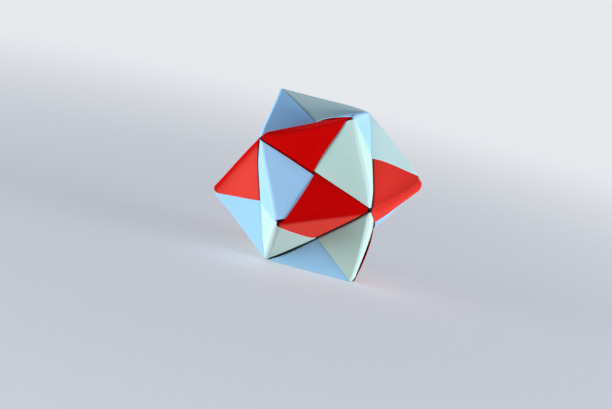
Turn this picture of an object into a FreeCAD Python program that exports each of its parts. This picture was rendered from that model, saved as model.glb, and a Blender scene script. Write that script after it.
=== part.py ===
"""Origami star cube: twelve folded paper units that hold each other with tabs and pockets.

Each unit is one square sheet of paper, folded into a parallelogram.  Its middle is a square,
creased along one diagonal (the valley); its two ends are tabs that fold over two ridges and
slide into the pockets of the units beside it.  Twelve units close into a hollow star with
eight three-sided points, whose tips are the corners of a cube, and six four-sided dimples.

Star axes: the six dimples lie on +-x, +-y and +-z.  Every face is a right isosceles triangle
with its right angle at a tip, and the three faces of one point are square to each other.
"""
import FreeCAD, Part
import math
import os

import Sketcher

V = FreeCAD.Vector

# ----------------------------------------------------------------------------------------
# Driving dimensions, in millimetres unless the name says otherwise
# ----------------------------------------------------------------------------------------
DIMENSIONS = [
    ("paper_side", 90.0, "side of the square sheet each unit is folded from"),
    ("sheet_thickness", 0.1, "one layer of the paper"),
    ("base_layers", 3, "layers behind a pocket"),
    ("tab_layers", 4, "layers of a tab"),
    ("flap_layers", 1, "layers over a pocket"),
    ("play", 0.05, "clearance on each side of a tab in its pocket, and where edges butt"),
    ("valley_gap", 0.2, "gap between a flap's foot in the valley and the long edges of the tabs"),
    ("corner_gap", 0.35, "how far the folded ridges stop short at a dimple"),
    ("slit_width", 0.2, "opening between the two raw edges of a unit"),
    ("fold_radius", 0.45, "outside radius of a folded ridge"),
]

doc = FreeCAD.newDocument("origami_star_cube")
sheet = doc.addObject("Spreadsheet::Sheet", "Sizes")
for row, (alias, number, note) in enumerate(DIMENSIONS, start=1):
    sheet.set(f"A{row}", alias)
    sheet.set(f"B{row}", str(number))
    sheet.set(f"C{row}", note)
    sheet.setAlias(f"B{row}", alias)
doc.recompute()


class Size:
    """A number together with the sheet expression that gives it."""

    def __init__(self, value, text):
        self.value = value
        self.text = text

    @staticmethod
    def of(other):
        return other if isinstance(other, Size) else Size(float(other), repr(float(other)))

    def __add__(self, other):
        other = Size.of(other)
        return Size(self.value + other.value, f"({self.text} + {other.text})")

    def __sub__(self, other):
        other = Size.of(other)
        return Size(self.value - other.value, f"({self.text} - {other.text})")

    def __mul__(self, other):
        other = Size.of(other)
        return Size(self.value * other.value, f"({self.text} * {other.text})")

    def __truediv__(self, other):
        other = Size.of(other)
        return Size(self.value / other.value, f"({self.text} / {other.text})")

    def __neg__(self):
        return Size(-self.value, f"(0 - {self.text})")


def cell(alias):
    """The sheet's value of that name."""
    return Size(float(sheet.get(alias)), f"Sizes.{alias}")


ZERO = Size(0.0, "0")
ROOT2 = math.sqrt(2.0)
# Each half of a unit's square leans out from the valley by the angle whose sine is one third.
LEAN = math.degrees(math.asin(1.0 / 3.0))
SIN_LEAN = 1.0 / 3.0
COS_LEAN = math.sqrt(8.0) / 3.0
TAN_LEAN = SIN_LEAN / COS_LEAN

# ----------------------------------------------------------------------------------------
# Derived sizes
# ----------------------------------------------------------------------------------------
valley = cell("paper_side") / 2          # length of a valley, from dimple to dimple
half = valley / 2                        # from the middle of a valley to its end
leg = valley / ROOT2                     # length of a ridge, from dimple to tip
flap_thick = cell("sheet_thickness") * cell("flap_layers")
tab_thick = cell("sheet_thickness") * cell("tab_layers")
base_thick = cell("sheet_thickness") * cell("base_layers")
play = cell("play")

# Depths below the plane of a face, from outside to inside: flap, tab, base.
tab_top = flap_thick + play
tab_under = tab_top + tab_thick
base_top = tab_under + play
base_under = base_top + base_thick

pocket_end = tab_under + play            # a tab stops this far from the ridge at a pocket's end
butt = base_under + play                 # a base stops this far from the ridge it butts
valley_step = flap_thick + cell("valley_gap")    # a tab's long edge stops this far out
ridge_start = valley_step * ROOT2 + cell("corner_gap")
base_corner = butt * ROOT2 + cell("corner_gap")
slit = cell("slit_width") / 2
far_corner = pocket_end * ROOT2 + valley_step + cell("corner_gap")


# ----------------------------------------------------------------------------------------
# Outlines.  In a face's plane x runs along the valley from its middle and s climbs from the
# valley to the tip at (0, half).  In a tab's plane the first number runs along the ridge
# from the dimple and the second is the depth below the unit's own face.
# ----------------------------------------------------------------------------------------
def on_face(from_own_ridge, from_other_ridge):
    """The point of the face at those distances from its two ridges."""
    x = (from_own_ridge - from_other_ridge) / ROOT2
    s = half - (from_own_ridge + from_other_ridge) / ROOT2
    return (x, s)


in_tab = (tab_top + tab_under) / 2       # the base starts here, inside the tab it grows from
fold_line = -(base_under * TAN_LEAN)     # where the undersides of the two bases meet

BASE = [
    (base_corner - half, fold_line),
    (half - base_corner, fold_line),
    (half - base_corner, cell("corner_gap")),
    on_face(in_tab, butt),
    (base_corner - half, base_corner - in_tab * ROOT2),
]
WEB = [
    (base_corner - half, ZERO),
    (-slit, ZERO),
    (-slit, flap_thick),
    (base_corner - half, flap_thick),
]
FLAP = [
    (ridge_start * ROOT2 - half, ZERO),
    (-slit, ZERO),
    (-slit, half + slit - pocket_end * ROOT2),
    on_face(tab_top, pocket_end),
    ((ridge_start + tab_top) / ROOT2 - half, (ridge_start - tab_top) / ROOT2),
]
tab_end = leg - pocket_end
tab_long = (valley - far_corner) * ROOT2          # ridge and depth distances add up to this
TAB = [
    (ridge_start, ZERO),
    (tab_end, ZERO),
    (tab_end, tab_long - tab_end),
    ((tab_long + valley_step * ROOT2) / 2, (tab_long - valley_step * ROOT2) / 2),
    (ridge_start, ridge_start - valley_step * ROOT2),
]


# ----------------------------------------------------------------------------------------
# Features
# ----------------------------------------------------------------------------------------
def bind(thing, name, size):
    """Ties one property of a feature to the sheet."""
    thing.setExpression(name, size.text)


def origin_feature(body, role):
    """One of a body's own planes or axes."""
    return next(f for f in body.Origin.OriginFeatures if f.Role == role)


def constrain(sketch, kind, geo, size):
    """Holds a line's first point at a signed distance from the sketch's origin."""
    if size.text == ZERO.text:
        axis = -1 if kind == "DistanceY" else -2
        sketch.addConstraint(Sketcher.Constraint("PointOnObject", geo, 1, axis))
        return
    if size.value >= 0:
        index = sketch.addConstraint(Sketcher.Constraint(kind, -1, 1, geo, 1, size.value))
    else:
        size = -size
        index = sketch.addConstraint(Sketcher.Constraint(kind, geo, 1, -1, 1, size.value))
    sketch.setExpression(f"Constraints[{index}]", size.text)


def outline(body, name, points, origin, turn):
    """A closed sketch through the points, on the body's XY plane moved and turned."""
    sketch = body.newObject("Sketcher::SketchObject", name)
    sketch.AttachmentSupport = (origin_feature(body, "XY_Plane"), [""])
    sketch.MapMode = "FlatFace"
    sketch.AttachmentOffset = FreeCAD.Placement(V(*[c.value for c in origin]), turn)
    for axis, size in zip("xyz", origin):
        if size.text != ZERO.text:
            bind(sketch, f"AttachmentOffset.Base.{axis}", size)
    spots = [V(x.value, y.value, 0) for x, y in points]
    ends = spots[1:] + spots[:1]
    sketch.addGeometry([Part.LineSegment(p, q) for p, q in zip(spots, ends)], False)
    count = len(points)
    for geo in range(count):
        sketch.addConstraint(Sketcher.Constraint("Coincident", geo, 2, (geo + 1) % count, 1))
    for geo, (x, y) in enumerate(points):
        constrain(sketch, "DistanceX", geo, x)
        constrain(sketch, "DistanceY", geo, y)
    return sketch


def plate(body, name, points, origin, turn, thickness):
    """Pads an outline inwards by a thickness."""
    pad = body.newObject("PartDesign::Pad", name)
    pad.Profile = outline(body, name + "_outline", points, origin, turn)
    pad.Reversed = True
    bind(pad, "Length", thickness)
    return pad


# The upper face of a unit leans back about the valley; its tab hangs square to it from the
# ridge on the left, with the sketch's x along the ridge and its y pointing inwards.
FACE_TURN = FreeCAD.Rotation(V(1, 0, 0), LEAN)
climb = V(0, COS_LEAN, SIN_LEAN)
inward = V(0, SIN_LEAN, -COS_LEAN)
along_ridge = (V(1, 0, 0) + climb) / ROOT2
TAB_TURN = FreeCAD.Rotation(along_ridge, inward, along_ridge.cross(inward), "ZXY")
into_square = (V(1, 0, 0) - climb) / ROOT2


def below_face(depth):
    """The valley's middle, moved down below the plane of the face."""
    return (ZERO, depth * SIN_LEAN, -(depth * COS_LEAN))


def below_side(depth):
    """The dimple end of the ridge, moved in below the plane of the tab's face."""
    return (depth * into_square.x - half, depth * into_square.y, depth * into_square.z)


def ridge_edges(shape):
    """Names of the two outer edges of the folded ridges."""
    start = V(-half.value, 0, 0) + into_square * tab_top.value
    found = []
    for sign in (1, -1):
        for number, edge in enumerate(shape.Edges, start=1):
            if len(edge.Vertexes) != 2 or edge.Length < leg.value / 2:
                continue
            ends = [V(sign * v.X, sign * v.Y, v.Z) for v in edge.Vertexes]
            if all((p - start).cross(along_ridge).Length < 1e-4 for p in ends):
                found.append(f"Edge{number}")
    if len(found) != 2:
        raise RuntimeError(f"expected two ridge edges, found {len(found)}")
    return found


def folded_unit(name):
    """One folded sheet, with the middle of its valley at the origin and facing +Z."""
    body = doc.addObject("PartDesign::Body", name)
    body.Label = name
    face = FACE_TURN
    plates = [
        plate(body, name + "_base", BASE, below_face(base_top), face, base_thick),
        plate(body, name + "_web", WEB, below_face(ZERO), face, base_top + base_thick / 2),
        plate(body, name + "_flap", FLAP, below_face(ZERO), face, flap_thick),
        plate(body, name + "_tab", TAB, below_side(tab_top), TAB_TURN, tab_thick),
    ]
    halves = body.newObject("PartDesign::PolarPattern", name + "_halves")
    halves.Originals = plates
    halves.Axis = (origin_feature(body, "Z_Axis"), [""])
    halves.Angle = 360
    halves.Occurrences = 2
    body.Tip = halves
    doc.recompute()
    folds = body.newObject("PartDesign::Fillet", name + "_folds")
    folds.Base = (halves, ridge_edges(halves.Shape))
    bind(folds, "Radius", cell("fold_radius"))
    body.Tip = folds
    return body


# ----------------------------------------------------------------------------------------
# The star: a unit along each of the twelve valleys
# ----------------------------------------------------------------------------------------
DIMPLES = {
    "front": V(1, 0, 0), "back": V(-1, 0, 0),
    "right": V(0, 1, 0), "left": V(0, -1, 0),
    "top": V(0, 0, 1), "bottom": V(0, 0, -1),
}
UNITS = [
    ("red", "front", "right"), ("red", "right", "back"),
    ("red", "back", "left"), ("red", "left", "front"),
    ("blue", "front", "top"), ("blue", "top", "back"),
    ("blue", "back", "bottom"), ("blue", "bottom", "front"),
    ("mint", "right", "top"), ("mint", "top", "left"),
    ("mint", "left", "bottom"), ("mint", "bottom", "right"),
]
# The star lies on two tips and the bottom dimple: star direction (1, 0, 2) points up.
up = V(1, 0, 2) / math.sqrt(5.0)
side = V(0, 1, 0)
back = up.cross(side)


def stood(vector):
    """A star direction, turned into the resting star's own frame."""
    return V(vector.dot(side), vector.dot(back), vector.dot(up))


bodies = []
for colour, first, second in UNITS:
    body = folded_unit(f"{colour}_unit_{first}_{second}")
    run = stood(DIMPLES[second] - DIMPLES[first])
    out = stood(DIMPLES[first] + DIMPLES[second])
    body.Placement = FreeCAD.Placement(V(0, 0, 0), FreeCAD.Rotation(run, out.cross(run), out, "ZXY"))
    for axis, share in zip("xyz", out / out.Length):
        bind(body, f"Placement.Base.{axis}", half * share)
    bodies.append(body)
doc.recompute()

# Lift the star so that its lowest ridges touch the ground plane.
lowest = min(body.Shape.optimalBoundingBox(False).ZMin for body in bodies)
for body, (colour, first, second) in zip(bodies, UNITS):
    out = stood(DIMPLES[first] + DIMPLES[second])
    bind(body, "Placement.Base.z", half * (out.z / out.Length) - lowest)
doc.recompute()

# ----------------------------------------------------------------------------------------
# Check and write
# ----------------------------------------------------------------------------------------
for thing in doc.Objects:
    if "Invalid" in thing.State or "Error" in thing.State:
        raise RuntimeError(f"{thing.Name} failed: {thing.State}")
for body in bodies:
    shape = body.Shape
    if shape.isNull() or not shape.isValid() or len(shape.Solids) != 1:
        raise RuntimeError(f"{body.Label} is not one valid solid")

os.makedirs("parts", exist_ok=True)
for body in bodies:
    body.Shape.exportStep(f"parts/{body.Label}.step")
    print(body.Label, round(body.Shape.Volume, 2), "mm3", len(body.Shape.Faces), "faces")
box = Part.makeCompound([body.Shape for body in bodies]).optimalBoundingBox(False)
print("box", [round(c, 3) for c in (box.XMin, box.YMin, box.ZMin, box.XMax, box.YMax, box.ZMax)])
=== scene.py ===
# %% [markdown]
# # Origami star cube
# Twelve square sheets of paper, folded alike and slid into each other without glue, close
# into a hollow star.  Its eight three-sided points have their tips at the corners of a cube,
# and between the points lie six four-sided dimples.  The first cell loads the measured solids
# as a fixed frame, and keeps their box, whose middle the dressed star is built round.

import bpy
import numpy as np
from mathutils import Matrix, Vector


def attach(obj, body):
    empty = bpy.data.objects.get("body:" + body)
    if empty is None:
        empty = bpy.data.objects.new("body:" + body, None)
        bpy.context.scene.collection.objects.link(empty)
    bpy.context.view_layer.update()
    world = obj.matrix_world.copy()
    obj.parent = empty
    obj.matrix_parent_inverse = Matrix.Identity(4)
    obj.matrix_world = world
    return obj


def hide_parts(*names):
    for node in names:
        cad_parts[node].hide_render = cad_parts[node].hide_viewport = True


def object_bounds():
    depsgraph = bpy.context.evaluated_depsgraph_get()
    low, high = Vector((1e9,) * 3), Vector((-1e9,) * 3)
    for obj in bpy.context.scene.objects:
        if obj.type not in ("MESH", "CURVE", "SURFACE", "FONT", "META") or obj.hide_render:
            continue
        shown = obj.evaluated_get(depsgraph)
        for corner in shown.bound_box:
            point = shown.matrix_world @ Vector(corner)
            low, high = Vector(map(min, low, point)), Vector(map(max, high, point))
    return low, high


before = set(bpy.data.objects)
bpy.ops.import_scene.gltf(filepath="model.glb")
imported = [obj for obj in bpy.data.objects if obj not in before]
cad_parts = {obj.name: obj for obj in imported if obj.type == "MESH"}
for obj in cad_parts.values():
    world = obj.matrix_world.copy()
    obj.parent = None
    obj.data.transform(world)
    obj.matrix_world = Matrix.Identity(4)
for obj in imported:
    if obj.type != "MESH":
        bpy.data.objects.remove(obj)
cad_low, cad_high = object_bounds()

MM = 0.001
centre = np.array((cad_low + cad_high) / 2)


def in_mm(point):
    """A place as a list of millimetres, rounded to a hundredth."""
    return [round(float(part) / MM, 2) for part in point]


print("solids from", in_mm(cad_low), "to", in_mm(cad_high), "mm")

# %% [markdown]
# ## The lengths of the fold
# Everything follows from the sheet.  The valley of a unit is half the sheet's side, a ridge is
# that over the square root of two, and each half of a unit leans out from its valley by the
# angle whose sine is one third.  The small lengths are those of soft folded paper: how thick
# its layers are, how far a face swells, how far a valley is pushed out.

# %% Lengths
VALLEY = 45.0 * MM                    # from dimple to dimple along a unit's crease
HALF = VALLEY / 2
LEG = VALLEY / np.sqrt(2.0)           # from dimple to tip along a ridge
SIN, COS = 1 / 3, np.sqrt(8.0) / 3    # of the lean of a half unit

FLAP = 0.12 * MM                      # thickness of the single layer over a pocket
TAB = 0.40 * MM                       # thickness of a folded tab
BASE = 0.30 * MM                      # thickness of the layers behind a pocket
TAB_DEPTH = 0.14 * MM                 # outside of a tab, below the outside of a flap
BASE_DEPTH = 0.62 * MM                # outside of the base layers, below the same
SLIT = 0.10 * MM                      # half the opening between a unit's two raw edges
TAB_CORNER = 2.4 * MM                 # how much is cut off a tab's far corner, along and across
ROLL = 0.45 * MM                      # radius of a flap's folded edge along the valley
SWELL = 0.54 * MM                     # how far a face would stand out without the easing
RAISE = 1.1 * MM                      # how far the valleys are pushed out between the dimples
GROOVE = 3.5 * MM                     # how deep the layers behind a valley lie, as a rule
lean = np.degrees(np.arcsin(SIN))
print(f"valley {VALLEY / MM:.1f} mm, ridge {LEG / MM:.1f} mm, lean {lean:.1f} degrees")

# %% [markdown]
# ## Twelve units between six dimples
# A unit lies along the line from one dimple to the next, which is its valley, and each colour
# makes one ring of four units round the star.  One mesh could be copied twelve times, but
# no two hand folds are alike, so each unit is worked out by itself from its two dimples.

# %% Dimples and units
DIMPLES = {
    "front": (1, 0, 0), "back": (-1, 0, 0), "right": (0, 1, 0),
    "left": (0, -1, 0), "top": (0, 0, 1), "bottom": (0, 0, -1),
}
UNITS = [
    ("red", "front", "right"), ("red", "right", "back"),
    ("red", "back", "left"), ("red", "left", "front"),
    ("blue", "front", "top"), ("blue", "top", "back"),
    ("blue", "back", "bottom"), ("blue", "bottom", "front"),
    ("mint", "right", "top"), ("mint", "top", "left"),
    ("mint", "left", "bottom"), ("mint", "bottom", "right"),
]
print(len(UNITS), "units between", len(DIMPLES), "dimples")

# %% [markdown]
# ## How each half was folded
# Each half of a unit has its own habits: how round its ridge is, how far its edges lift or
# stand back, how blunt its tip is.  Noise on the finished mesh could make the sheets uneven
# too, but it would tear or cross them where they meet, and a habit moves a fold as a hand
# does.  A seeded chance picks most habits from narrow ranges, and bolder ones are listed.

# %% Ranges and usual habits
chance = np.random.default_rng(12)

RANGES = {                           # lowest and highest, in mm except crisp, in this order
    "round": (1.0, 1.5),             # radius of the ridge
    "nose": (0.9, 1.2),              # radius across the tip
    "crisp": (1.5, 1.8),             # power of the rounding: two is a round edge, less a flatter
    "face_push": (0.0, 0.3),         # how far the ridge stands out past the flap's face
    "tab_push": (0.0, 0.3),          # and past the tab's
    "puff": (0.1, 0.3),              # how far the tab stands out near its dimple
    "lift": (0.1, 0.2),              # how far the raw edge lifts
    "gap": (0.35, 0.5),              # opening between the valley and the tab
    "over": (0.25, 0.45),            # how far the flap's foot reaches over the valley
    "start": (0.9, 1.1),             # how far the ridge keeps from the dimple
    "stop": (0.6, 0.8),              # and from the tip
}
USUAL = {                            # in mm except the painted light shares, unless listed below
    "open": 0,                       # how far the foot draws back, half-way to the unit's middle
    "wedge": 0,                      # what the gap gains there
    "slip": 0,                       # how far the raw edge stands back all along
    "short": 0,                      # how much more it stands back towards the tip
    "notch": 0,                      # and right at the tip
    "blunt": 0,                      # what the ridge's radius gains near the tip
    "tuck": 1.2,                     # what the nose's radius gains on the tab's side
    "tip_push": 0,                   # how far the tip is puffed out
    "groove": GROOVE / MM,           # depth of the layers behind the valley, which also sets their painted shade, from the first half
    "flap_painted_light": 0,                   # share of painted light, a lighter tone, on the flap, from none to one
    "tab_painted_light": 0,                    # and on the tab
}
PURE = ("crisp", "flap_painted_light", "tab_painted_light")    # numbers that aren't lengths
print(len(RANGES) + len(USUAL), "habits,", len(RANGES), "of them left to chance")

# %% Habits listed one by one
KNOWN = {                                    # by the unit's two dimples and the half's own
    ("front", "right", "front"): {
        "round": 1.0, "face_push": 0.0, "tab_push": -1.0, "lift": 0.5, "puff": 1.4,
        "over": 0.3, "slip": 0.5, "short": 0.75, "start": 0.7, "stop": 1.2, "groove": 0.2,
    },
    ("front", "right", "right"): {
        "round": 0.8, "face_push": 0.1, "tab_push": 0.1, "nose": 1.7, "lift": 0.4, "gap": 0.65,
        "over": 0.6, "short": 1.55, "notch": 0.2, "stop": 1.1, "tab_painted_light": 0.9,
    },
    ("left", "front", "front"): {
        "round": 1.7, "crisp": 1.4, "face_push": -0.6, "tab_push": 0.0, "nose": 1.8,
        "tip_push": 0.2, "gap": 0.35, "start": 0.7, "stop": 0.4, "tab_painted_light": 0.85,
    },
    ("right", "back", "right"): {
        "round": 1.9, "face_push": 0.8, "tab_push": -0.6, "nose": 3.0, "tuck": 0.2,
        "blunt": 1.2, "tip_push": 0.8, "gap": 0.6, "stop": 0.5, "flap_painted_light": 0.75, "tab_painted_light": 0.55,
    },
    ("right", "back", "back"): {"nose": 2.4, "lift": 0.7, "notch": 1.2, "stop": 1.9},
    ("front", "top", "front"): {"round": 1.0, "face_push": 0.0, "tab_push": 0.1, "start": 0.7},
    ("front", "top", "top"): {"lift": 0.5},
    ("top", "back", "back"): {"nose": 3.2, "blunt": 1.8, "stop": 1.0},
    ("top", "left", "top"): {"tab_painted_light": 0.9},
    ("right", "top", "right"): {
        "round": 1.4, "crisp": 1.2, "face_push": 0.7, "tab_push": 0.0, "tuck": 0.0, "stop": 0.9,
    },
    ("right", "top", "top"): {
        "face_push": 0.1, "tab_push": 0.0, "nose": 3.2, "blunt": 1.8,
        "short": 1.3, "notch": 0.6, "stop": 2.9, "flap_painted_light": 0.8,
    },
    ("bottom", "front", "front"): {
        "round": 1.4, "face_push": 0.2, "tab_push": 0.0, "tuck": 0.0, "gap": 0.7,
        "over": -0.1, "start": 0.7, "stop": 1.4, "tab_painted_light": 0.5,
    },
    ("bottom", "front", "bottom"): {"nose": 3.6, "short": 0.5, "start": 0.6, "stop": 2.0},
    ("bottom", "right", "bottom"): {
        "round": 1.6, "crisp": 1.6, "face_push": -0.1, "tab_push": 0.0, "over": -0.05,
        "open": 0.5, "short": 1.4, "start": 0.6, "flap_painted_light": 0.9,
    },
    ("bottom", "right", "right"): {
        "round": 1.7, "crisp": 1.4, "face_push": 0.0, "tab_push": 0.2, "nose": 1.6,
        "over": -0.3, "stop": 1.0,
    },
    ("back", "bottom", "bottom"): {
        "round": 1.0, "face_push": 0.0, "tab_push": 0.0, "nose": 1.9, "wedge": 0.2, "start": 0.6,
    },
    ("left", "bottom", "bottom"): {
        "round": 1.0, "face_push": 0.0, "tab_push": 0.0, "start": 0.6,
    },
    ("left", "bottom", "left"): {"nose": 2.4, "stop": 1.7},
}
print(len(KNOWN), "of", 2 * len(UNITS), "halves have habits set by hand")


# %% Habits of every half
def half_habit(first, second, own):
    """Habits of one half: a low plus a chance share of the range, the usual, then those listed."""
    made = {word: low + (high - low) * chance.random() for word, (low, high) in RANGES.items()}
    made.update(USUAL)
    made.update(KNOWN.get((first, second, own), {}))
    return {word: value if word in PURE else value * MM for word, value in made.items()}


HABITS = {unit: [half_habit(*unit[1:], own) for own in unit[1:]] for unit in UNITS}
radii = [half["round"] / MM for halves in HABITS.values() for half in halves]
print(f"ridges rounded by {min(radii):.1f} to {max(radii):.1f} mm")

# %% [markdown]
# ## Where the paper lies
# A point of the star is the corner of a small cube: its three faces are square to each other.
# So a place on it is given by three depths, one below each face, and the ridge between two
# faces is where two depths are nothing.  Rounding is then one rule for ridges and noses alike:
# where a depth is under the radius, the missing part is an arrow, and the arrow is shortened
# to the radius.  Its direction is also the way the paper faces there.  A Bevel modifier rounds
# edges too, but by one radius all along, and these radii grow and fade on the way.

# %% Depths to places
VALLEY_WAY = np.array([1.0, 0.0, 0.0])
CLIMB = np.array([0.0, COS, SIN])              # from the valley's middle to the tip
TIP = HALF * CLIMB
FACE_WAYS = np.array([
    [0.0, -SIN, COS],                          # out of the unit's own face
    (CLIMB - VALLEY_WAY) / np.sqrt(2.0),       # out of the face its tab lies on
    (CLIMB + VALLEY_WAY) / np.sqrt(2.0),       # out of the third face, along the ridge
])
NEAREST = 0.15 * MM                            # the radius shrinks no more below this distance
BLUNT_REACH = 5 * MM                           # how far from the tip a ridge can be blunter


def bell(distance, width):
    """One at no distance, and a falling exponential of the squared distance over the width."""
    return np.exp(-((distance / width) ** 2))


def hump(share):
    """Nothing at no share and at the whole, one at half: the sine of half a turn times it."""
    return np.sin(np.pi * np.clip(share, 0, 1))


def sharpened(along, habit):
    """Share of the radius left near a dimple: one minus a falling exponential of the way to it."""
    return 1 - np.exp(-np.maximum(along, NEAREST) / (1.5 * habit["round"]))


def rounded(depths, habit, nose):
    """Places and outward directions for depths below the three faces of a point.

    Each part of the arrow is one minus depth over radius, where that is positive.  The arrow's
    length is a root of the sum of its parts' powers, which gives a round edge for a power of
    two and a flatter one for less.  The depth is the radius times one minus part over length.
    """
    edge = habit["round"] + habit["blunt"] * bell(depths[..., 2], BLUNT_REACH)
    edge = edge * sharpened(LEG - depths[..., 2], habit)
    radii = np.stack([edge, edge, nose], -1)
    power = habit["crisp"]
    arrow = np.maximum(1 - depths / radii, 0.0)
    length = (arrow**power).sum(-1, keepdims=True) ** (1 / power)
    depths = np.where(arrow > 0, radii * (1 - arrow / length), depths)
    way = arrow ** (power - 1) * (arrow > 0) / radii
    way = way / np.linalg.norm(way, axis=-1, keepdims=True)
    return TIP - depths @ FACE_WAYS, way @ FACE_WAYS


print("faces of a point, each against each:", np.abs(FACE_WAYS @ FACE_WAYS.T).round(3).tolist())


# %% Steps of a grid
def steps(length, near, far, counts):
    """Distances from 0 to length: fine over the near and far ends, wider between them.

    Three ramps run one after the other, over the near end, the middle and the far end.  The
    near end takes at most 0.35 of the length, and the far end 0.30.
    """
    index = np.arange(sum(counts) + 1)
    starts = np.cumsum([0, *counts])[:3]
    ramps = [np.clip((index - s) / c, 0, 1) for s, c in zip(starts, counts)]
    near = np.minimum(near, 0.35 * length)
    far = np.minimum(far, 0.30 * length)
    return near * ramps[0] + (length - near - far) * ramps[1] + far * ramps[2]


def along_ridge(habit):
    """Distances along the ridge, fine at both ends, with one at the unit's middle."""
    middle = (LEG - np.sqrt(2) * SLIT) / 2
    stop = LEG - habit["stop"]
    lower = habit["start"] + steps(middle - habit["start"], 2.5 * MM, 0.6 * MM, (8, 12, 2))
    upper = middle + steps(stop - middle, 0.6 * MM, 3.0 * MM, (2, 11, 12))
    return np.concatenate([lower, upper[1:]])[:, None]


sample = HABITS[UNITS[0]][0]
print(len(along_ridge(sample)), "rows from the dimple to the tip")

# %% [markdown]
# ## How the paper bows
# A folded face isn't flat: the paper stands out a little between its folds, a folded edge
# rolls over, and a tip can be puffed.  A cloth simulation would bow the paper too, but it
# would move the edges that the next sheets meet.  So each is a smooth height over the face.

# %% Swell, roll and puffed tip
PUFFED = 4 * MM                                # how far from the tip its puff reaches


def eased(distance):
    """A distance that starts without a slope: the root of its square plus one, less one, in mm."""
    return np.sqrt(distance**2 + MM**2) - MM


def swell(along, across):
    """Pillow over a face: 27 times the product of its three relative distances to the edges.

    along is measured on the ridge from the dimple, across from the ridge.  The distances to
    the two ridges are eased, so that the pillow leaves no crease on a rounded ridge.
    """
    return SWELL * 27 * eased(across) * (along - across) * eased(LEG - along) / LEG**3


def rolled(distance, radius):
    """How far a rolled edge has dropped at a distance from the edge: a quarter circle."""
    inside = np.clip(radius - distance, 0, radius)
    return radius - np.sqrt(radius**2 - inside**2)


def nose_push(along, across, habit):
    """How far a puffed tip stands out, by a bell curve of the distance from the tip."""
    share = np.exp(-((LEG - along) ** 2 + across**2) / PUFFED**2)
    return habit["tip_push"] * share[..., None] * FACE_WAYS.sum(0) / np.sqrt(3)


share = np.linspace(0, 1, 60)
face = swell(LEG * share[:, None], LEG * share[:, None] * share)
print(f"a face swells by up to {face.max() / MM:.2f} mm")

# %% [markdown]
# ## The skin of a unit
# On the real unit one run of paper goes from the valley over the pocket, round the ridge and
# on as the tab.  It could be bent from a flat plate with modifiers, but a formula keeps every
# edge where the next sheet needs it.  Rows run across the ridge and columns along it: on one
# side the row ends in the valley or at the raw edge, on the other at the tab's long edge.
# Folds and raw edges get a share of a tone of their own, which is wear on the blue and mint
# sheets and painted shade on the red.

# %% Flap
NOTCHED = 2.5 * MM                             # how far from the tip a notch reaches
LIFTED = 2.5 * MM                              # how far from the raw edge its lift reaches
LEAST_FLAP = 0.05 * MM                         # the narrowest that a flap becomes at its ends
WORN_CUT = 0.12 * MM                           # width of the line on a raw edge: worn on blue and mint, painted shade on red


def flap(habit, along):
    """Outside, inside, fold mask and painted light of a flap, from its outer edge to the ridge.

    A row ends past the valley, by the foot that reaches over it, or at the raw edge, whichever
    comes first.  Its height is the swell, plus the lift, which fades from the raw edge and
    is a hump along it, less the roll of the foot.
    """
    over = habit["over"] - habit["open"] * hump(2 * along / LEG)
    slit = SLIT + habit["slip"] + habit["notch"] * bell(LEG - along, NOTCHED)
    slit = slit + habit["short"] * (1 - np.exp(-3 * np.clip(2 * along / LEG - 1, 0, 1)))
    end = np.minimum(along + np.sqrt(2) * over, LEG - np.sqrt(2) * slit - along)
    end = np.maximum(end, LEAST_FLAP)
    across = steps(end, 1.5 * habit["round"], 1.0 * MM, (10, 12, 8))[:, ::-1]
    from_valley = (along - across) / np.sqrt(2)
    from_raw = HALF - SLIT - (along + across) / np.sqrt(2)
    rise = swell(along, across)
    rise += habit["lift"] * np.exp(-from_raw / LIFTED) * hump(from_valley / HALF)
    rise -= rolled(from_valley + over, ROLL)
    depths = np.stack([np.zeros_like(across), across, LEG - along + 0 * across], -1)
    places, ways = rounded(depths, habit, habit["nose"] + 0 * across)
    outside = places + ways * rise[..., None] + nose_push(along, across, habit)
    # mask of folds and raw edges: wear on blue and mint, painted shade on the red
    wear_and_shade = bell(across, habit["round"]) + np.exp(-from_raw / WORN_CUT)
    # the last part is painted light: a lighter tone, by the flap's share
    return outside, outside - ways * FLAP, wear_and_shade, habit["flap_painted_light"] + 0 * wear_and_shade


print("a flap has", flap(sample, along_ridge(sample))[0].shape[1], "places in a row")

# %% Tab
TUCKED = 2 * MM                                # how far past the ridge the nose gains its tuck
PUFF_END = 17 * MM                             # where the puff of a tab ends, from the dimple
PUFF_START = 2 * MM                            # how far from the dimple it has come in
SUNK = 1.8 * MM                                # how far past the ridge a tab is at its depth
WORN_EDGE = 0.15 * MM                          # width of the line on a tab's long edge: worn on blue and mint, painted shade on red
PAINTED_LIGHT_START, PAINTED_LIGHT_BLEND = MM, 1.5 * MM            # where a tab's own painted light starts, and its blend


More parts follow.
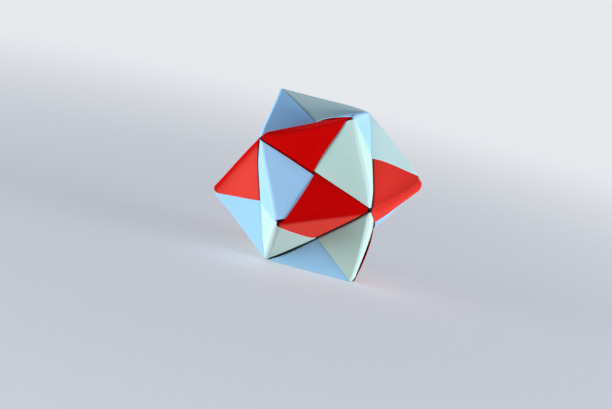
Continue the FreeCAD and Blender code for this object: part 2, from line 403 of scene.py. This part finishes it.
def tab(habit, along):
    """Outside, inside, fold mask and painted light of a tab, from the ridge to its long edge.

    A row ends at the gap beside the next valley, or where the tab's far corner is cut off.
    Its height is the swell plus the puff, less the tab's depth below a flap, which starts at
    the ridge.  The puff is a hump across the tab that fades away from the dimple.  At the long
    edge both sides roll in by half the thickness and meet.
    """
    gap = habit["gap"] + habit["wedge"] * hump(2 * along / LEG)
    end = np.minimum(along - np.sqrt(2) * gap, np.sqrt(2) * VALLEY - TAB_CORNER - along)
    across = steps(end, 1.5 * habit["round"], 0.9 * MM, (10, 16, 8))
    from_edge = (end - across) / np.sqrt(2)
    puff = habit["puff"] * hump(across / along) * np.clip(1 - along / PUFF_END, 0, 1)
    puff = puff * (1 - bell(along, PUFF_START))
    rise = swell(along, across) + puff - TAB_DEPTH * (1 - bell(across, SUNK))
    depths = np.stack([across, np.zeros_like(across), LEG - along + 0 * across], -1)
    nose = habit["nose"] + habit["tuck"] * np.clip(across / TUCKED, 0, 1)
    places, ways = rounded(depths, habit, nose)
    places = places + nose_push(along, across, habit)
    edge = rolled(from_edge, TAB / 2)
    outside = places + ways * (rise - edge)[..., None]
    inside = places + ways * (rise - TAB + edge)[..., None]
    # mask of folds and the long edge: wear on blue and mint, painted shade on the red
    wear_and_shade = bell(across, 2 * habit["round"]) + 0.6 * np.exp(-from_edge / WORN_EDGE)
    # painted light: the tab's share of the lighter tone blends in from the flap's
    blend = np.clip((across - PAINTED_LIGHT_START) / PAINTED_LIGHT_BLEND, 0, 1)
    painted_light = habit["flap_painted_light"] + (habit["tab_painted_light"] - habit["flap_painted_light"]) * blend
    return outside, inside, wear_and_shade, painted_light


print("a tab has", tab(sample, along_ridge(sample))[0].shape[1], "places in a row")


# %% Skin
def skin(habit):
    """Outside, inside, fold mask and painted light of half a unit: the flap, then the tab from the
    ridge on.
    """
    along = along_ridge(habit)
    flap_out, flap_in, flap_wear_and_shade, flap_painted_light = flap(habit, along)
    tab_out, tab_in, tab_wear_and_shade, tab_painted_light = tab(habit, along)
    outside = np.concatenate([flap_out, tab_out[:, 1:]], 1)
    inside = np.concatenate([flap_in[:, :-1], tab_in], 1)
    wear_and_shade = np.clip(np.concatenate([flap_wear_and_shade, tab_wear_and_shade[:, 1:]], 1), 0, 1)
    painted_light = np.concatenate([flap_painted_light, tab_painted_light[:, 1:]], 1)
    return outside, inside, wear_and_shade, painted_light


print("skin of half a unit:", "{} rows of {} places".format(*skin(sample)[0].shape[:2]))

# %% [markdown]
# ## The layers behind the pockets
# Behind its two flaps a real unit has a square of three layers, creased along the valley.  It
# shows only as a dark line in the open valley, so here the crease lies in a deep groove, and
# the square gets a mask below nothing, which paints shade on it: the sheet's own colour, nearly
# dark.  A black strip could be laid there instead, but the real line is shaded paper, not black.

# %% Base
DIMPLE_STOP = 2.0 * MM                         # how far the square keeps from the dimples
TIP_STOP = 2.5 * MM                            # how far it keeps from the two tips
GROOVE_WIDTH = 1.5 * MM
SINK, SINK_WIDTH = 3.2 * MM, 4 * MM            # how far it drops below a blunt tip
CREASE = 0.15 * MM                             # how soft the crease itself is
TURN_OVER = 0.5 * MM                           # how soon the two halves' lean takes over


def base(groove):
    """Outside, inside, painted shade and painted light of the square behind the pockets.

    Across the square the height follows the two leaning faces, below the tabs, and the swell.
    It sinks by bell curves into the groove along the crease and below the two tips.  The painted
    shade is below nothing, minus the groove over the usual groove, and there is no painted light.
    """
    half = steps(HALF - TIP_STOP, 2 * MM, 1 * MM, (8, 10, 2))
    climb = np.concatenate([-half[:0:-1], half])[None, :]
    up = np.abs(climb)
    x = np.linspace(-1, 1, 33)[:, None] * (HALF - DIMPLE_STOP - up)
    along, across = (x + HALF + up) / np.sqrt(2), (x + HALF - up) / np.sqrt(2)
    rise = swell(along, across) - BASE_DEPTH - groove * bell(up, GROOVE_WIDTH)
    rise = rise - SINK * bell(HALF - up, SINK_WIDTH)
    soft = np.sqrt(up**2 + CREASE**2) - CREASE
    grids = []
    for lowered in (0.0, BASE):
        height = rise - lowered
        grids.append(np.stack([
            x + 0 * up,
            climb * COS - np.clip(climb / TURN_OVER, -1, 1) * height * SIN,
            soft * SIN + height * COS,
        ], -1))
    # painted shade over the whole square, the more the deeper its groove
    painted_shade = np.full_like(x + 0 * up, -groove / GROOVE)
    return grids[0], grids[1], painted_shade, 0 * painted_shade


print("base of a unit:", "{} rows of {} places".format(*base(GROOVE)[0].shape[:2]))

# %% [markdown]
# ## From grids to closed paper
# Each grid pair is closed into a thin solid: the outside, the inside turned over, and a rim
# round the four edges.  The Solidify modifier could do this, but the tab's rolled edge needs
# its two sides to meet, which a constant thickness can't give.


# %% Close a pair of grids
def closed(outside, inside):
    """Vertices and quads of the solid between two matched grids."""
    rows, cols = outside.shape[:2]
    points = np.concatenate([outside.reshape(-1, 3), inside.reshape(-1, 3)])
    index = np.arange(rows * cols).reshape(rows, cols)
    low = index + rows * cols
    top = np.stack([index[:-1, :-1], index[1:, :-1], index[1:, 1:], index[:-1, 1:]], -1)
    under = np.stack([low[:-1, :-1], low[:-1, 1:], low[1:, 1:], low[1:, :-1]], -1)
    ring = np.concatenate([index[0, :-1], index[:-1, -1], index[-1, :0:-1], index[:0:-1, 0]])
    after = np.roll(ring, -1)
    rim = np.stack([ring, after, after + rows * cols, ring + rows * cols], -1)
    quads = np.concatenate([top.reshape(-1, 4), under.reshape(-1, 4), rim])
    return points, quads


print("the skin closes into", len(closed(*skin(sample)[:2])[1]), "quads")

# %% [markdown]
# ## Units on the star
# The star's own axes run through its six dimples.  It lies on two tips and one dimple, so the
# direction one, nothing, two of those axes points up.  A unit's second half is its first half
# turned half round about the middle.  Objects could be turned into place instead, but then
# their places wouldn't be in their meshes, and the grain of the paper would turn with them.

# %% Star axes
UP = np.array([1.0, 0.0, 2.0]) / np.sqrt(5.0)
SIDE = np.array([0.0, 1.0, 0.0])
STAND = np.stack([SIDE, np.cross(UP, SIDE), UP])     # star axes to the resting frame


def unit_axes(first, second):
    """Directions of a unit: along its valley, across it, and out of the star."""
    p, q = (np.array(DIMPLES[name], float) for name in (first, second))
    return np.stack([(q - p) / np.sqrt(2), np.cross(p, q), (p + q) / np.sqrt(2)])


for name, way in DIMPLES.items():
    print(name, "dimple points to", np.round(STAND @ way, 2).tolist())

# %% [markdown]
# ## How the whole star settles
# Paper under tension doesn't keep to the ideal form.  The valleys are pushed out, the rounded
# ridges stand out a little, a few points lean, and no face is quite even.  These moves are
# worked out from a place on the star and not from a sheet, so that every layer at a place
# moves alike and none comes through another.  A lattice could bend the star too, but not
# by a known distance at a known valley.

# %% Valleys and ridges
LESS_RAISED = {                                      # valleys that stay nearer straight
    ("bottom", "right"): 0.75 * MM,
    ("front", "top"): 0.4 * MM,
}
RAISE_FADE = 5.5 * MM                                # how far from a dimple a valley rises
PUSH_FADE = 4 * MM                                   # how far from a dimple a ridge stands out
WIDEST_PUSH = 7 * MM                                 # of the bell across a ridge
TIP_EASE, TIP_WIDTH = 0.35, 5 * MM                   # the ridge's push is less near the tip


def pushed_valley(local, raised):
    """How far places move out near a valley: a bell curve of the distance from the crease.

    The bell is half as wide as the way to the nearer dimple, and fades out towards it.
    """
    off = np.hypot(local[:, 1], local[:, 2] - HALF)
    ends = np.clip(HALF - np.abs(local[:, 0]), 0, None)
    share = bell(off, 0.5 * ends + 0.2 * MM)
    share *= 1 - bell(ends, RAISE_FADE)
    return raised * share[:, None]


def pushed_ridge(local, habit):
    """Which way places move near a ridge: out past the two faces beside it, by a bell curve.

    It makes up for what the rounding takes off, the radius times one minus a half to the power
    of one over crisp, and adds the half's own push past each face.
    """
    depths = (TIP - local + np.array([0, 0, HALF])) @ FACE_WAYS.T
    along = np.clip(LEG - depths[:, 2], 0, None)
    off = np.hypot(depths[:, 0], depths[:, 1])
    share = bell(off, np.clip(0.5 * along, 0.1 * MM, WIDEST_PUSH))
    share *= 1 - bell(along, PUSH_FADE)
    share *= 1 - TIP_EASE * bell(LEG - along, TIP_WIDTH)
    lost = habit["round"] * sharpened(along, habit) * (1 - 0.5 ** (1 / habit["crisp"]))
    face_push = share * (lost + habit["face_push"])
    tab_push = share * (lost + habit["tab_push"])
    return face_push[:, None] * FACE_WAYS[0] + tab_push[:, None] * FACE_WAYS[1]


print(f"valleys are pushed out by {min(LESS_RAISED.values()) / MM:.1f} to {RAISE / MM:.1f} mm")

# %% Leaning points and uneven faces
LEANS = {                                            # points that stand a little askew, in mm
    (1, -1, -1): (-0.38, 0.25, -0.42),
    (-1, 1, 1): (0.25, -0.14, 0.40),
    (-1, 1, -1): (0.95, -0.80, -0.47),
}
LEAN_WIDTH = 9 * MM                                  # how far from its tip a point leans
WAVE = 0.10 * MM                                     # how uneven the faces are
THIN = 0.25 * MM                                     # what lies on the floor is pressed to this


def leaning(points):
    """Each leaning tip's own shift, by a bell curve of the distance from the tip."""
    moves = []
    for tip, lean in LEANS.items():
        off = np.linalg.norm(points - np.array(tip) * LEG / 1.5, axis=1)
        moves.append(bell(off, LEAN_WIDTH)[:, None] * np.array(lean) * MM)
    return moves


def waves(points):
    """A slow unevenness: along each axis, a sine of one other axis times a sine of the third."""
    a = points / MM
    return np.stack([
        np.sin(a[:, 1] / 7.3 + 1.0) * np.sin(a[:, 2] / 6.1 + 0.4),
        np.sin(a[:, 2] / 6.7 + 2.1) * np.sin(a[:, 0] / 7.9 + 1.7),
        np.sin(a[:, 0] / 6.3 + 0.7) * np.sin(a[:, 1] / 7.1 + 2.6),
    ], -1)


def settle(points):
    """What the whole star does to every layer alike: valleys, ridges, leaning points, waves."""
    moved = points.copy()
    for (_, first, second), halves in HABITS.items():
        axes = unit_axes(first, second)
        local = points @ axes.T
        moved += pushed_valley(local, LESS_RAISED.get((first, second), RAISE)) * axes[2]
        for turn, habit in zip((1, -1), halves):
            turned = np.array([turn, turn, 1.0])
            moved += (pushed_ridge(local * turned, habit) * turned) @ axes
    for move in leaning(points):
        moved += move
    return moved + WAVE * waves(points)


def resting(points):
    """Presses what would be below the floor into a thin layer above it, by an exponential."""
    height = points[:, 2]
    pressed = THIN * np.exp(np.minimum(height - THIN, 0) / THIN)
    points[:, 2] = np.where(height < THIN, pressed, height)
    return points


furthest = max(np.linalg.norm(lean) for lean in LEANS.values())
print(f"{len(LEANS)} points lean, by up to {furthest:.1f} mm")


# %% One sheet as a mesh
def unit_mesh(name, first, second, habits):
    """One folded sheet in the resting frame: two skins and a base, with their masks for the fold
    tone, painted shade and painted light.
    """
    points, quads, wears_and_shades, painted_lights = [], [], [], []
    count = 0
    grids = [(1, skin(habits[0])), (-1, skin(habits[1])), (1, base(habits[0]["groove"]))]
    for turn, (outside, inside, wear_and_shade, painted_light) in grids:
        made, faces = closed(outside, inside)
        points.append(made * np.array([turn, turn, 1.0]) + np.array([0, 0, HALF]))
        quads.append(faces + count)
        wears_and_shades.append(np.tile(wear_and_shade.ravel(), 2))
        painted_lights.append(np.tile(painted_light.ravel(), 2))
        count += len(made)
    points = settle(np.concatenate(points) @ unit_axes(first, second)) @ STAND.T + centre
    mesh = bpy.data.meshes.new(name)
    mesh.from_pydata(resting(points), [], np.concatenate(quads))
    for label, values in (("wear_and_shade", wears_and_shades), ("painted_light", painted_lights)):
        attribute = mesh.attributes.new(label, "FLOAT", "POINT")
        attribute.data.foreach_set("value", np.concatenate(values))
    mesh.shade_smooth()
    mesh.update()
    return mesh


trial = unit_mesh("trial", *UNITS[0][1:], HABITS[UNITS[0]])
print("one sheet has", len(trial.vertices), "places and", len(trial.polygons), "quads")
bpy.data.meshes.remove(trial)

# %% [markdown]
# ## Shader maths as expressions
# A node tree is easier to read as arithmetic.  This small class wraps one socket, and its
# operators add the Math nodes, also where a plain number stands first.  Nodes could be placed
# and linked one by one, but then the sum is hard to see among the links.


# %% Socket wrapper
class Wire:
    """One output socket, with operators that add Math nodes to its tree."""

    def __init__(self, tree, socket):
        self.tree = tree
        self.socket = socket

    def node(self, kind, settings=(), **inputs):
        """Adds a node of a kind, sets its settings first and then its sockets.

        A socket is given by its name, or as i and its number.  A wire is linked to it, and
        any other value is set on it.
        """
        made = self.tree.nodes.new(kind)
        for key, value in dict(settings).items():
            setattr(made, key, value)
        for key, value in inputs.items():
            spot = int(key[1:]) if key[1:].isdigit() else key.replace("_", " ")
            if isinstance(value, Wire):
                self.tree.links.new(value.socket, made.inputs[spot])
            else:
                made.inputs[spot].default_value = value
        return made

    def wire(self, kind, settings=(), output=0, **inputs):
        """Adds a node as above, and wraps one of its outputs."""
        return Wire(self.tree, self.node(kind, settings, **inputs).outputs[output])

    def mix(self, share, first, second):
        """A colour: the first where the share is nothing, the second where it is one."""
        return self.wire("ShaderNodeMix", {"data_type": "RGBA"}, output="Result",
                         Factor=share, i6=first, i7=second)

    def math(self, operation, first, second):
        """A Math node on two values, each a wire or a number."""
        return self.wire("ShaderNodeMath", {"operation": operation}, i0=first, i1=second)

    def __add__(self, other):
        return self.math("ADD", self, other)

    def __sub__(self, other):
        return self.math("SUBTRACT", self, other)

    def __mul__(self, other):
        return self.math("MULTIPLY", self, other)

    __radd__ = __add__
    __rmul__ = __mul__

    def __rsub__(self, other):
        return self.math("SUBTRACT", other, self)


print("wires can be added, subtracted and multiplied, with each other and with numbers")

# %% [markdown]
# ## Coloured paper
# The sheets are dyed through, matte and a little mottled.  Colour varies by a few percent in
# soft clouds and fine fibre.  Folds and raw edges have a tone of their own: worn paler on the
# blue and mint sheets, and on the red a deeper tone, which is painted shade along the creases.
# Some halves get a lighter tone, which is painted light, and the groove behind a valley gets
# painted shade, the sheet's own colour nearly dark.  Fine fibre also gives the surface its bump.
# An image of paper could be wrapped round the sheets, but its grain would stretch at the folds,
# and noise in space doesn't.

# %% Paper
CLOUDS = {"Scale": 90.0, "Detail": 3.0, "Roughness": 0.55}       # patches of about a centimetre
FIBRES = {"Scale": 2600.0, "Detail": 4.0, "Roughness": 0.7}      # grain under half a millimetre
MOTTLE = 0.05                         # how far the colour varies to either side
WEAR_AND_SHADE_SHARE = 0.45                     # how much fold tone a fold or raw edge shows; on the red it is painted shade
PAINTED_SHADE_SHARE = 0.8                      # how much painted shade a usual groove shows
DARK = 0.05                           # share of the colour that is left in the painted shade
FIBRE_HEIGHT = 0.03 * MM


def tint(colour, share=1.0):
    """A colour times a share, with no part above one, and opaque."""
    return (*[min(part * share, 1.0) for part in colour], 1)


def paper(name, colour, worn_and_shaded, painted_light_tone):
    """A dyed sheet: clouds and fibres vary it, painted light lightens it, folds take a tone of
    their own, which on the red is painted shade, and painted shade darkens the grooves.

    The fold mask is from nothing to one on folds and raw edges, and below nothing in a groove,
    where it paints shade.  Each tone is mixed over the one before it, by its own share.
    """
    material = bpy.data.materials.new(name)
    material.use_nodes = True
    tree = material.node_tree
    tree.nodes.clear()
    start = Wire(tree, None)
    place = start.wire("ShaderNodeTexCoord", output="Object")
    clouds = start.wire("ShaderNodeTexNoise", Vector=place, **CLOUDS)
    fibres = start.wire("ShaderNodeTexNoise", Vector=place, **FIBRES)
    wear_and_shade = start.wire("ShaderNodeAttribute", {"attribute_name": "wear_and_shade"}, output="Fac")
    painted_light = start.wire("ShaderNodeAttribute", {"attribute_name": "painted_light"}, output="Fac")
    # painted shade in the groove: the part of the mask below nothing, turned round
    groove = 0 - wear_and_shade
    shade = 0.7 * clouds + 0.3 * fibres
    tone = start.mix(shade, tint(colour, 1 - MOTTLE), tint(colour, 1 + MOTTLE))
    # painted light: a lighter tone on some halves
    tone = start.mix(painted_light, tone, tint(painted_light_tone))
    # fold tone: wear on blue and mint, painted shade on the red
    tone = start.mix(WEAR_AND_SHADE_SHARE * wear_and_shade, tone, tint(worn_and_shaded))
    # painted shade in the grooves
    tone = start.mix(PAINTED_SHADE_SHARE * groove, tone, tint(colour, DARK))
    bump = start.wire("ShaderNodeBump", Strength=0.25, Distance=FIBRE_HEIGHT, Height=fibres)
    shader = start.node("ShaderNodeBsdfPrincipled", Base_Color=tone, Roughness=0.62 + 0.1 * shade,
                        Specular_IOR_Level=0.02, Normal=bump)
    output = tree.nodes.new("ShaderNodeOutputMaterial")
    tree.links.new(shader.outputs[0], output.inputs[0])
    return material


PAPERS = {                            # each sheet's colour, fold tone (painted shade on red) and painted light tone
    "red": paper("red_paper", (0.74, 0.001, 0.001), (0.42, 0.001, 0.001), (0.97, 0.075, 0.05)),
    "blue": paper("blue_paper", (0.43, 0.75, 1.0), (0.58, 0.86, 1.0), (0.50, 0.80, 1.0)),
    "mint": paper("mint_paper", (0.61, 0.86, 0.70), (0.75, 0.95, 0.87), (0.70, 0.90, 0.80)),
}
for sheet in PAPERS.values():
    print(sheet.name, "has", len(sheet.node_tree.nodes), "nodes")

# %% [markdown]
# ## Fold the star
# Now every unit is folded with its own habits, in its colour.  Copies that share one mesh
# would be lighter, but then every sheet would have the same folds.  Each sheet takes the place
# of the plain solid of the same unit, and rides on the star's one body.

# %% Units
for (colour, first, second), halves in HABITS.items():
    node = f"{colour}_unit_{first}_{second}"
    mesh = unit_mesh(node + "_paper", first, second, halves)
    mesh.materials.append(PAPERS[colour])
    piece = bpy.data.objects.new(node + "_paper", mesh)
    bpy.context.scene.collection.objects.link(piece)
    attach(piece, "root")
    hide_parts(node)
    colour + "_paper"
print("units:", len(UNITS), "with", len(mesh.polygons), "quads each")

# %% [markdown]
# ## Floor and distance
# A plain pale floor that fades into an equally pale distance, so that no horizon shows.  A
# curved backdrop could hide the horizon too, but it would throw light on the star.  The fade
# is only for the rays that show a background: the star is lit by the lamps, by a weak bluish
# sky and by the warm light that the floor throws back.

# %% Floor
PALE = (0.80, 0.82, 0.85, 1)
BOUNCE = (0.78, 0.69, 0.60, 1)        # colour of the floor in the light that it throws back
FLOOR_REACH = 12.0                    # metres from the middle to a side
FADE_START, FADE_END = 0.05, 0.6      # metres from the middle
FADE_LOW, FADE_HIGH = 0.50, 1.0       # share of the even glow, near and far


def background_rays(start):
    """One for the rays that show the pale background: seen directly, mirrored or through glass."""
    kinds = ("Is Camera Ray", "Is Glossy Ray", "Is Transmission Ray")
    straight, mirrored, through = (start.wire("ShaderNodeLightPath", output=kind) for kind in kinds)
    return straight + mirrored + through


def pale_floor():
    """A matt floor mixed with an even glow for background rays, more of it further off."""
    material = bpy.data.materials.new("pale_floor")
    material.use_nodes = True
    tree = material.node_tree
    tree.nodes.clear()
    start = Wire(tree, None)
    place = start.wire("ShaderNodeTexCoord", output="Object")
    off = start.wire("ShaderNodeVectorMath", {"operation": "LENGTH"}, output="Value", i0=place)
    far = start.wire("ShaderNodeMapRange", {"interpolation_type": "SMOOTHSTEP"}, output="Result",
                     Value=off, i1=FADE_START, i2=FADE_END, i3=FADE_LOW, i4=FADE_HIGH)
    seen = background_rays(start)
    matt = start.node("ShaderNodeBsdfDiffuse", Color=start.mix(seen, BOUNCE, PALE))
    glow = start.node("ShaderNodeEmission", Color=PALE, Strength=1.0)
    both = start.node("ShaderNodeMixShader", i0=far * seen)
    tree.links.new(matt.outputs[0], both.inputs[1])
    tree.links.new(glow.outputs[0], both.inputs[2])
    tree.links.new(both.outputs[0], tree.nodes.new("ShaderNodeOutputMaterial").inputs[0])
    return material


corners = [(x * FLOOR_REACH, y * FLOOR_REACH, 0) for x, y in ((-1, -1), (1, -1), (1, 1), (-1, 1))]
floor_mesh = bpy.data.meshes.new("floor")
floor_mesh.from_pydata(corners, [], [(0, 1, 2, 3)])
floor_mesh.materials.append(pale_floor())
floor = bpy.data.objects.new("floor", floor_mesh)
bpy.context.scene.collection.objects.link(floor)
print("floor", 2 * FLOOR_REACH, "m wide, fading from", FADE_START, "to", FADE_END, "m")

# %% Sky
SKY, SKY_STRENGTH = (0.70, 0.96, 1.60, 1), 0.13

world = bpy.data.worlds.new("sky")
bpy.context.scene.world = world
world.use_nodes = True
sky = world.node_tree
sky.nodes.clear()
begin = Wire(sky, None)
lit = begin.node("ShaderNodeBackground", Color=SKY, Strength=SKY_STRENGTH)
shown = begin.node("ShaderNodeBackground", Color=PALE, Strength=1.0)
both = begin.node("ShaderNodeMixShader", i0=background_rays(begin))
sky.links.new(lit.outputs[0], both.inputs[1])
sky.links.new(shown.outputs[0], both.inputs[2])
sky.links.new(both.outputs[0], begin.node("ShaderNodeOutputWorld").inputs[0])
print("sky lights at", SKY_STRENGTH, "and shows as", PALE[:3])

# %% [markdown]
# ## Camera
# The camera stands about half a metre off with a long lens, so that the star looks as it does
# in the hand and isn't drawn out.  It is turned about its own axis as well, which tips the
# star.  A Track To constraint could aim it, but it can't hold such a roll, so its three axes
# are worked out and written as a matrix.

# %% Camera
AZIMUTH, ELEVATION, ROLL = np.radians([53.3, 10.25, 13.5])
DISTANCE = 11.62                      # from the star's middle, in lengths of a valley
TO_LEFT, TO_BELOW = 0.090, 0.149      # how far the camera is shifted, in the same
LENS, SENSOR = 88.2, 36.0             # mm

level = np.cos(ELEVATION)
away = np.array([np.sin(AZIMUTH) * level, -np.cos(AZIMUTH) * level, np.sin(ELEVATION)])
flat_right = np.array([np.cos(AZIMUTH), np.sin(AZIMUTH), 0.0])
flat_up = np.cross(away, flat_right)
right = np.cos(ROLL) * flat_right + np.sin(ROLL) * flat_up
above = np.cross(away, right)
eye = centre + VALLEY * (DISTANCE * away - TO_LEFT * right - TO_BELOW * above)

camera = bpy.data.objects.new("camera", bpy.data.cameras.new("camera"))
bpy.context.scene.collection.objects.link(camera)
camera.data.sensor_width = SENSOR
camera.data.lens = LENS
camera.data.clip_start = 0.01
camera.data.clip_end = 50
camera.matrix_world = Matrix((
    (right[0], above[0], away[0], eye[0]),
    (right[1], above[1], away[1], eye[1]),
    (right[2], above[2], away[2], eye[2]),
    (0, 0, 0, 1),
))
bpy.context.scene.camera = camera
print("camera at", in_mm(eye), "mm")

# %% [markdown]
# ## Lights
# Two soft panels light the star from the left and the right of the camera, as two windows
# would.  A sun lamp would give hard shadows, and the folds here cast soft ones.  A panel is
# placed by its direction as the camera sees the star, so that the shading stays when the
# camera's place is changed.

# %% Lights
LAMP_COLOUR = (0.96, 1.0, 1.13)
LAMP_DISTANCE, LAMP_WIDTH = 0.80, 0.50               # metres


def lamp(name, to_right, to_above, to_camera, height, power):
    """A soft light panel, in the direction that its three parts add up to."""
    way = to_right * right + to_above * above + to_camera * away
    way = way / np.linalg.norm(way)
    light = bpy.data.lights.new(name, "AREA")
    light.shape = "RECTANGLE"
    light.size, light.size_y = LAMP_WIDTH, height
    light.energy = power
    light.color = LAMP_COLOUR
    holder = bpy.data.objects.new(name, light)
    holder.location = centre + way * LAMP_DISTANCE
    holder.rotation_mode = "QUATERNION"
    holder.rotation_quaternion = Vector(way).to_track_quat("Z", "Y")
    bpy.context.scene.collection.objects.link(holder)
    print(name, "at", in_mm(holder.location), "mm,", power, "W")


lamp("left_light", -0.92, 0.22, 0.32, height=0.14, power=6.3)
lamp("right_light", 0.95, -0.15, 0.28, height=0.26, power=6.7)

scene = bpy.context.scene
scene.view_settings.view_transform = "Standard"
